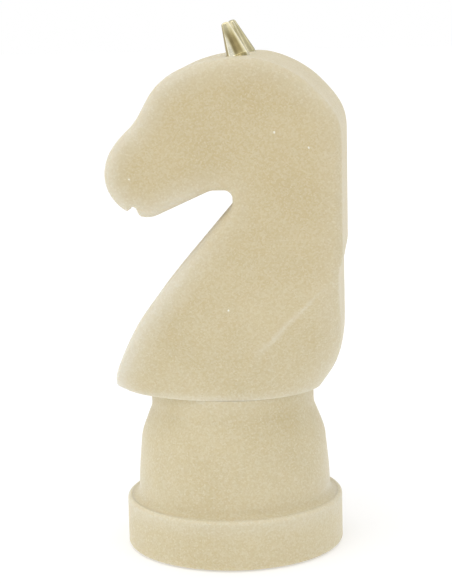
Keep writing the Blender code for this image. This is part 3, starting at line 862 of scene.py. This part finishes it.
def ear(name, side):
    """A horn-shaped brass ear, hollow towards its own side, with a blunt tip and a stud hole."""
    def swing(angle):
        return math.remainder(math.pi / 2 - EAR_SCOOP_TURN - side * angle, math.tau)

    def skin(radius, height):
        return lambda angle: scooped(radius, swing(angle), height), height

    tip = EAR_LENGTH - EAR_TIP_ROUND
    profile = [(0, STUD_HOLE_DEPTH), (STUD_HOLE_RADIUS, STUD_HOLE_DEPTH), (STUD_HOLE_RADIUS, 0)]
    profile += [(EAR_BASE_RADIUS - EAR_BASE_CHAMFER, 0), (EAR_BASE_RADIUS, EAR_BASE_CHAMFER)]
    for step in range(EAR_ROWS + 1):
        height = EAR_SINK + (tip - EAR_SINK) * step / EAR_ROWS
        radius = EAR_BASE_RADIUS + (EAR_TIP_RADIUS - EAR_BASE_RADIUS) * step / EAR_ROWS
        profile.append(skin(radius, height))
    tip_centre = (EAR_TIP_RADIUS - EAR_TIP_ROUND, tip)
    for radius, height in arc(tip_centre, EAR_TIP_ROUND, 0, 90, BIG_ROUND_STEPS)[1:]:
        profile.append(skin(radius, height))
    profile.append(skin(EAR_CAP_RADIUS, EAR_LENGTH + EAR_CAP_RISE))
    item = turned(name, profile + [(0, EAR_LENGTH + EAR_CAP_TOP)], EAR_STEPS)
    wear_and_painted_reflection = item.data.attributes.new("wear_and_painted_reflection", "FLOAT", "POINT")
    for vertex in item.data.vertices:
        x, y, z = vertex.co
        on_skin = x != 0 or y != 0
        wear_and_painted_reflection.data[vertex.index].value = ear_wear_and_painted_reflection(swing(math.atan2(y, x)), z) if on_skin else 0.5
    item.data.transform(ear_matrix(side))
    smooth_shade(item, EAR_SMOOTH_ANGLE)
    return item


def pad():
    """The rubber pad, with a softened edge."""
    top = PAD_HIGH[2]
    radius = PAD_HIGH[0]
    inner = radius - PAD_SOFT
    profile = [(0, top)] + arc((inner, top - PAD_SOFT), PAD_SOFT, 90, 0, SMALL_ROUND_STEPS)
    profile += arc((inner, PAD_SOFT), PAD_SOFT, 0, -90, SMALL_ROUND_STEPS) + [(0, 0)]
    return turned("knight_pad", profile)


def thread(radius, pitch, height, limit=1.0):
    """A screw thread's reach at a height, as a function of the angle, with flat crests and roots."""
    def reach(angle):
        phase = (height / pitch - angle / math.tau) % 1
        fall = min(max(THREAD_SLOPE * abs(2 * phase - 1) - THREAD_FLAT, 0), 1)
        return min(radius - THREAD_DEPTH * pitch * fall, limit)
    return reach


def levels(low, high, pitch):
    """Heights fine enough to draw a thread."""
    count = round((high - low) / pitch * THREAD_ROWS)
    return [low + (high - low) * step / count for step in range(count + 1)]


def screw(name, radius, pitch, low, high):
    """A threaded rod with chamfered ends."""
    root = radius - THREAD_DEPTH * pitch
    profile = [(0, low), (root, low)]
    for height in levels(low, high, pitch)[1:-1]:
        limit = root + min(height - low, high - height)
        profile.append((thread(radius, pitch, height, limit), height))
    return turned(name, profile + [(root, high), (0, high)], THREAD_STEPS)


def tapped(radius, pitch, low, high):
    """The threaded bore of a nut or insert, from its low to its high end, countersunk at both."""
    rows = [(radius, low)]
    for height in levels(low, high, pitch)[1:-1]:
        sink = radius - min(height - low, high - height)
        threaded = thread(radius + THREAD_PLAY, pitch, height)
        rows.append((lambda angle, t=threaded, f=sink: max(t(angle), f), height))
    return rows + [(radius, high)]


def hexagon(flats, limit):
    """The reach of a hexagon, cut off at a limit, as a function of the angle."""
    return lambda angle: min(flats / 2 / math.cos(math.remainder(angle, math.pi / 3)), limit)


def nut(name, radius, pitch, flats, low, high):
    """A hexagon nut, chamfered at both ends."""
    rows = tapped(radius, pitch, low, high)
    chamfer = [(hexagon(flats, flats * part), drop) for part, drop in NUT_CHAMFER]
    rows += [(reach, high - drop) for reach, drop in chamfer]
    rows += [(reach, low + drop) for reach, drop in reversed(chamfer)]
    return turned(name, rows, NUT_STEPS)


def knurl(radius, depth, count):
    """The reach of a knurled or fluted rim, as a function of the angle."""
    return lambda angle: radius - depth * (0.5 - 0.5 * math.cos(count * angle))


def insert_sleeve(name, bore, pitch, radius, low, high, bands):
    """A brass insert: a tapped bore, and knurled bands between plain grooves outside."""
    rows = tapped(bore, pitch, low, high)
    rows.append((radius - INSERT_LEAD, high))
    tall = (high - low) / bands
    count = round(radius / KNURL_PITCH * math.tau)
    groove = radius - KNURL_DEPTH * KNURL_GROOVE
    ridged = knurl(radius, KNURL_DEPTH, count)
    for band in range(bands):
        top = high - band * tall
        (start, full), (last, end) = KNURL_EDGES
        for part, reach in ((start, groove), (full, ridged), (last, ridged), (end, groove)):
            rows.append((reach, top - part * tall))
    rows.append((radius - INSERT_LEAD, low))
    return turned(name, rows, count * KNURL_STEPS)


def soft_corner(radius, height, soft, start):
    """A quarter round, clockwise from a heading, about a centre."""
    return arc((radius, height), soft, start, start - 90, SMALL_ROUND_STEPS)


def washer(name, bore, radius, low, high, soft):
    """A flat ring with softened corners."""
    soft = min(soft, (high - low) * WASHER_SOFT_SHARE)
    rows = soft_corner(bore + soft, low + soft, soft, 270)
    rows += soft_corner(bore + soft, high - soft, soft, 180)
    rows += soft_corner(radius - soft, high - soft, soft, 90)
    rows += soft_corner(radius - soft, low + soft, soft, 0)
    return turned(name, rows, WASHER_STEPS)


def split_washer(name, bore, radius, low, high):
    """A spring washer: a square wire bent round one turn, its ends cut and sprung apart."""
    shape = bmesh.new()
    thick = (high - low) * SPLIT_THICKNESS
    section = []
    for across, up, start in ((radius, thick, 90), (radius, 0, 0), (bore, 0, -90), (bore, thick, 180)):
        inward = math.copysign(SPLIT_SOFT, across - (bore + radius) / 2)
        section += arc((across - inward, abs(up - SPLIT_SOFT)), SPLIT_SOFT, start, start - 90, 2)
    loops = []
    for step in range(SPLIT_STEPS + 1):
        turn = math.radians(SPLIT_START + SPLIT_TURN * step / SPLIT_STEPS)
        base = low + (high - low - thick) * step / SPLIT_STEPS
        loop = []
        for across, up in section:
            slant = turn + SPLIT_SLANT * (up / thick - 0.5)
            corner = (across * math.cos(slant), across * math.sin(slant), base + up)
            loop.append(shape.verts.new(corner))
        loops.append(loop)
    size = len(section)
    for first, second in zip(loops, loops[1:]):
        for corner in range(size):
            following = (corner + 1) % size
            sides = (first[corner], first[following], second[following], second[corner])
            shape.faces.new(sides)
    shape.faces.new(loops[0])
    shape.faces.new(list(reversed(loops[-1])))
    item = new_object(name, mesh_from(name, shape))
    smooth_shade(item)
    return item


def dowel(name, across, low, high, radius):
    """A fluted dowel with chamfered ends."""
    flutes = knurl(radius, DOWEL_FLUTE, DOWEL_FLUTES)
    end = radius - DOWEL_CHAMFER
    root = radius - DOWEL_FLUTE
    rows = [(0, high), (end, high), (root, high - DOWEL_CHAMFER), (flutes, high - 2 * DOWEL_CHAMFER)]
    rows += [(flutes, low + 2 * DOWEL_CHAMFER), (root, low + DOWEL_CHAMFER), (end, low), (0, low)]
    item = turned(name, rows, DOWEL_FLUTES * DOWEL_FLUTE_STEPS)
    item.data.transform(Matrix.Translation((across, 0, 0)))
    return item


def plug(name, radius, low, high):
    """The plastic plug, with a soft rim and two round grooves under it."""
    inner = radius - PLUG_SOFT
    rows = [(0, high)] + soft_corner(inner, high - PLUG_SOFT, PLUG_SOFT, 90)
    rows += soft_corner(inner, low + PLUG_SOFT, PLUG_SOFT, 0)
    for outside, inside in PLUG_GROOVES:
        outside *= radius
        inside *= radius
        rows += [(outside + PLUG_SLOPE, low), (outside - PLUG_SLOPE, low + PLUG_GROOVE_DEPTH)]
        rows += [(inside + PLUG_SLOPE, low + PLUG_GROOVE_DEPTH), (inside - PLUG_SLOPE, low)]
    return turned(name, rows + [(0, low)], PLUG_STEPS)


def coordinates(tree):
    return tree.nodes.new("ShaderNodeTexCoord").outputs["Object"]


def noise(tree, scale, detail):
    """Smooth noise fixed to the object, about 0.5."""
    node = tree.nodes.new("ShaderNodeTexNoise")
    node.inputs["Scale"].default_value = scale
    node.inputs["Detail"].default_value = detail
    tree.links.new(coordinates(tree), node.inputs["Vector"])
    return node.outputs["Fac"]


def attribute(tree, name):
    """A value stored on the vertices of the piece."""
    node = tree.nodes.new("ShaderNodeAttribute")
    node.attribute_name = name
    return node.outputs["Fac"]


def ramp(tree, factor, stops):
    """A colour ramp over (position, colour or grey) stops."""
    node = tree.nodes.new("ShaderNodeValToRGB")
    elements = node.color_ramp.elements
    while len(elements) < len(stops):
        elements.new(0.5)
    for element, (position, colour) in zip(elements, stops):
        element.position = position
        element.color = (*colour, 1) if isinstance(colour, tuple) else (colour,) * 3 + (1,)
    tree.links.new(factor, node.inputs["Fac"])
    return node.outputs["Color"]


def mix_colour(tree, factor, first, second, blend="MIX"):
    node = tree.nodes.new("ShaderNodeMix")
    node.data_type = "RGBA"
    node.blend_type = blend
    for socket, value in ((0, factor), (6, first), (7, second)):
        if isinstance(value, bpy.types.NodeSocket):
            tree.links.new(value, node.inputs[socket])
        elif socket == 0:
            node.inputs[0].default_value = value
        else:
            node.inputs[socket].default_value = (*value, 1)
    return node.outputs[2]


def map_range(tree, value, start, end):
    """0 at a value's start and 1 at its end, clamped."""
    node = tree.nodes.new("ShaderNodeMapRange")
    node.inputs["From Min"].default_value = start
    node.inputs["From Max"].default_value = end
    tree.links.new(value, node.inputs["Value"])
    return node.outputs["Result"]


def share(tree, value, amount):
    """1 for the given share of an evenly spread value, else 0."""
    node = tree.nodes.new("ShaderNodeMath")
    node.operation = "GREATER_THAN"
    node.inputs[1].default_value = 1 - amount
    tree.links.new(value, node.inputs[0])
    return node.outputs["Value"]


def bump(tree, height, strength, distance):
    node = tree.nodes.new("ShaderNodeBump")
    node.inputs["Strength"].default_value = strength
    node.inputs["Distance"].default_value = distance
    tree.links.new(height, node.inputs["Height"])
    return node.outputs["Normal"]


def new_material(name):
    made = bpy.data.materials.new(name)
    made.use_nodes = True
    return made, made.node_tree, made.node_tree.nodes["Principled BSDF"]


def stone_material():
    """Cream cast stone: sugary crystals in a yellower matrix, with painted glints, painted edge light,
    painted shade, and painted light from below.
    """
    made, tree, shader = new_material("cast_stone")
    base = ramp(tree, noise(tree, STONE_CLOUD_SCALE, 3), STONE_CLOUDS)
    crystals = tree.nodes.new("ShaderNodeTexVoronoi")
    crystals.inputs["Scale"].default_value = CRYSTAL_SCALE
    tree.links.new(coordinates(tree), crystals.inputs["Vector"])
    split = tree.nodes.new("ShaderNodeSeparateColor")
    tree.links.new(crystals.outputs["Color"], split.inputs["Color"])
    base = mix_colour(tree, CRYSTAL_AMOUNT, base, ramp(tree, split.outputs["Red"], CRYSTAL_TONES))
    sparks = share(tree, split.outputs["Green"], SPARK_SHARE)
    base = mix_colour(tree, sparks, base, SPARK_COLOUR)
    # Painted glints: a few crystals made near white as painted highlights
    painted_glints = share(tree, split.outputs["Red"], PAINTED_GLINT_SHARE)
    base = mix_colour(tree, painted_glints, base, PAINTED_GLINT_COLOUR)
    # Painted edge light and highlights where the attribute is above 0
    painted_light_and_shade = attribute(tree, "painted_light_and_shade")
    base = mix_colour(tree, ramp(tree, painted_light_and_shade, PAINTED_LIGHT_AMOUNTS), base, PAINTED_EDGE_LIGHT_COLOUR)
    height = tree.nodes.new("ShaderNodeSeparateXYZ")
    tree.links.new(coordinates(tree), height.inputs["Vector"])
    # Painted light from below: paler and bluer towards the bottom
    low = map_range(tree, height.outputs["Z"], BELOW_LIGHT_HIGH, BELOW_LIGHT_LOW)
    base = mix_colour(tree, 1.0, base, mix_colour(tree, low, *BELOW_LIGHT_TINTS), "MULTIPLY")
    # Painted shade where the attribute is below 0
    base = mix_colour(tree, map_range(tree, painted_light_and_shade, 0, -1), base, PAINTED_SHADE, "MULTIPLY")
    tree.links.new(base, shader.inputs["Base Color"])
    grain = bump(tree, noise(tree, STONE_GRAIN_SCALE, 3), 0.25, 0.0002)
    tree.links.new(grain, shader.inputs["Normal"])
    rough = ramp(tree, split.outputs["Blue"], STONE_ROUGHNESS)
    tree.links.new(rough, shader.inputs["Roughness"])
    for name, value in STONE_SHADING:
        shader.inputs[name].default_value = value
    return made


def brass_material():
    """Polished brass, dark with age and a painted dark reflection in its hollows and down its front,
    bright along its worn edges with painted highlights.
    """
    made, tree, shader = new_material("brass")
    colour = ramp(tree, attribute(tree, "wear_and_painted_reflection"), BRASS_WEAR_AND_REFLECTION)
    age = ramp(tree, noise(tree, 260, 4), ((0.35, 0.86), (0.65, 1.0)))
    tree.links.new(mix_colour(tree, 1.0, colour, age, "MULTIPLY"), shader.inputs["Base Color"])
    shader.inputs["Metallic"].default_value = 1.0
    rough = ramp(tree, noise(tree, 700, 3), ((0.3, 0.16), (0.7, 0.30)))
    tree.links.new(rough, shader.inputs["Roughness"])
    return made


def plain_material(name, dark, light, scale, metallic, roughness):
    """A plain finish with a fine variation from dark to light."""
    made, tree, shader = new_material(name)
    grain = noise(tree, scale, 4)
    tree.links.new(ramp(tree, grain, ((0.35, dark), (0.65, light))), shader.inputs["Base Color"])
    shader.inputs["Metallic"].default_value = metallic
    rough = ramp(tree, grain, ((0.3, roughness * 0.8), (0.7, roughness * 1.2)))
    tree.links.new(rough, shader.inputs["Roughness"])
    tree.links.new(bump(tree, grain, 0.2, 0.0001), shader.inputs["Normal"])
    return made


def install(item, node, finish):
    """Hang a piece on the one body in place of its CAD node, with its finish."""
    item.data.materials.clear()
    item.data.materials.append(finish)
    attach(item, "root")
    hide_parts(node)


def span(node):
    """Radius about the middle axis, and lowest and highest point, of a node."""
    low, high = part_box(node)
    return high[0], low[2], high[2]


def clamp_hardware():
    """The rod with its anchor, nut and washers."""
    rod_radius, low, high = span("tie_rod")
    rod = screw("knight_tie_rod", rod_radius, ROD_PITCH, low, high)
    install(rod, "tie_rod", STEEL)
    size = span("head_anchor")
    anchor = insert_sleeve("knight_head_anchor", rod_radius, ROD_PITCH, *size, ANCHOR_BANDS)
    install(anchor, "head_anchor", INSERT_BRASS)
    low, high = span("tie_nut")[1:]
    hexagonal = nut("knight_tie_nut", rod_radius, ROD_PITCH, NUT_FLATS, low, high)
    install(hexagonal, "tie_nut", STEEL)
    flat = washer("knight_tie_washer", rod_radius + GAP, *span("tie_washer"), WASHER_SOFT)
    install(flat, "tie_washer", STEEL)
    sprung = split_washer("knight_spring_washer", rod_radius + GAP, *span("spring_washer"))
    install(sprung, "spring_washer", STEEL)


def joint_hardware(joint):
    """The two dowels and the soft ring between two castings."""
    for end in ("front", "back"):
        node = f"{joint}_dowel_{end}"
        low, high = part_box(node)
        pinned = dowel(f"knight_{node}", (low[0] + high[0]) / 2, low[2], high[2], high[1])
        install(pinned, node, STEEL)
    node = f"{joint}_joint_ring"
    seal = washer(f"knight_{node}", RING_BORE, *span(node), RING_SOFT)
    install(seal, node, RUBBER)


def ear_hardware(which, side):
    """The stud of an ear and the sleeve that it screws into."""
    stud = screw(f"knight_ear_stud_{which}", STUD_RADIUS, STUD_PITCH, STUD_LOW, STUD_HIGH)
    sleeve = insert_sleeve(
        f"knight_ear_sleeve_{which}", STUD_RADIUS, STUD_PITCH,
        SLEEVE_RADIUS, SLEEVE_LOW, SLEEVE_HIGH, SLEEVE_BANDS,
    )
    for item in (stud, sleeve):
        item.data.transform(ear_matrix(side))
    install(stud, f"ear_stud_{which}", STEEL)
    install(sleeve, f"ear_sleeve_{which}", INSERT_BRASS)


def lay_floor():
    """A plain pale floor."""
    shape = bmesh.new()
    bmesh.ops.create_grid(shape, x_segments=2, y_segments=2, size=FLOOR_SIZE)
    floor = new_object("floor", mesh_from("floor", shape))
    made, tree, shader = new_material("floor")
    shader.inputs["Base Color"].default_value = (FLOOR_GREY, FLOOR_GREY, FLOOR_GREY, 1)
    shader.inputs["Emission Color"].default_value = WHITE
    shader.inputs["Emission Strength"].default_value = FLOOR_GLOW
    shader.inputs["Roughness"].default_value = 0.9
    floor.data.materials.append(made)


def softbox(name, place, width, height, power):
    """A soft rectangular lamp that points at the middle of the knight."""
    data = bpy.data.lights.new(name, "AREA")
    data.shape = "RECTANGLE"
    data.size = width
    data.size_y = height
    data.energy = power
    lamp = new_object(name, data)
    lamp.location = place
    lamp.rotation_euler = (Vector(MIDDLE) - Vector(place)).to_track_quat("-Z", "Y").to_euler()


def overhead_light():
    """One very soft light from above."""
    data = bpy.data.lights.new("overhead", "SUN")
    data.energy = OVERHEAD_POWER
    data.angle = OVERHEAD_SPREAD
    lamp = new_object("overhead", data)
    lamp.rotation_euler = OVERHEAD_TURN


def stand_camera():
    """The camera, where the photo was taken from."""
    data = bpy.data.cameras.new("camera")
    camera = new_object("camera", data)
    bpy.context.scene.camera = camera
    stand = math.radians(CAMERA_AZIMUTH)
    aim = math.radians(CAMERA_AZIMUTH - CAMERA_YAW)
    pitch = math.radians(CAMERA_PITCH)
    roll = math.radians(CAMERA_ROLL)
    level = math.cos(pitch)
    forward = Vector((-math.sin(aim) * level, math.cos(aim) * level, -math.sin(pitch)))
    right = Vector((math.cos(aim), math.sin(aim), 0))
    up = right.cross(forward)
    across = math.cos(roll) * right + math.sin(roll) * up
    upward = -math.sin(roll) * right + math.cos(roll) * up
    turn = Matrix((across, upward, -forward)).transposed().to_4x4()
    place = (CAMERA_DISTANCE * math.sin(stand), -CAMERA_DISTANCE * math.cos(stand), CAMERA_HEIGHT)
    camera.matrix_world = Matrix.Translation(place) @ turn
    data.sensor_fit = "VERTICAL"
    data.sensor_height = CAMERA_SENSOR
    data.lens = CAMERA_LENS


def surround():
    """White all around, dimmer as a light than as the camera's backdrop."""
    world = bpy.data.worlds.new("studio")
    bpy.context.scene.world = world
    world.use_nodes = True
    tree = world.node_tree
    ambient = tree.nodes["Background"]
    backdrop = tree.nodes.new("ShaderNodeBackground")
    for node, strength in ((ambient, AMBIENT_STRENGTH), (backdrop, BACKDROP_STRENGTH)):
        node.inputs["Color"].default_value = WHITE
        node.inputs["Strength"].default_value = strength
    seen = tree.nodes.new("ShaderNodeLightPath")
    either = tree.nodes.new("ShaderNodeMixShader")
    tree.links.new(seen.outputs["Is Camera Ray"], either.inputs["Fac"])
    tree.links.new(ambient.outputs["Background"], either.inputs[1])
    tree.links.new(backdrop.outputs["Background"], either.inputs[2])
    tree.links.new(either.outputs["Shader"], tree.nodes["World Output"].inputs["Surface"])


STONE = stone_material()
BRASS = brass_material()
INSERT_BRASS = plain_material("brass_insert", *INSERT_BRASS_LOOK)
STEEL = plain_material("steel", *STEEL_LOOK)
RUBBER = plain_material("rubber", *RUBBER_LOOK)
PLASTIC = plain_material("plug_plastic", *PLASTIC_LOOK)

install(head(), "head_block", STONE)
install(stem(), "stem", STONE)
install(foot(), "foot_plate", STONE)
install(ear("knight_ear_near", -1), "ear_near", BRASS)
install(ear("knight_ear_far", 1), "ear_far", BRASS)
install(pad(), "base_pad", RUBBER)
clamp_hardware()
joint_hardware("head")
joint_hardware("foot")
install(plug("knight_well_plug", *span("well_plug")), "well_plug", PLASTIC)
ear_hardware("near", -1)
ear_hardware("far", 1)

lay_floor()
for box in SOFTBOXES:
    softbox(*box)
overhead_light()
stand_camera()
surround()
bpy.context.scene.view_settings.view_transform = "Standard"
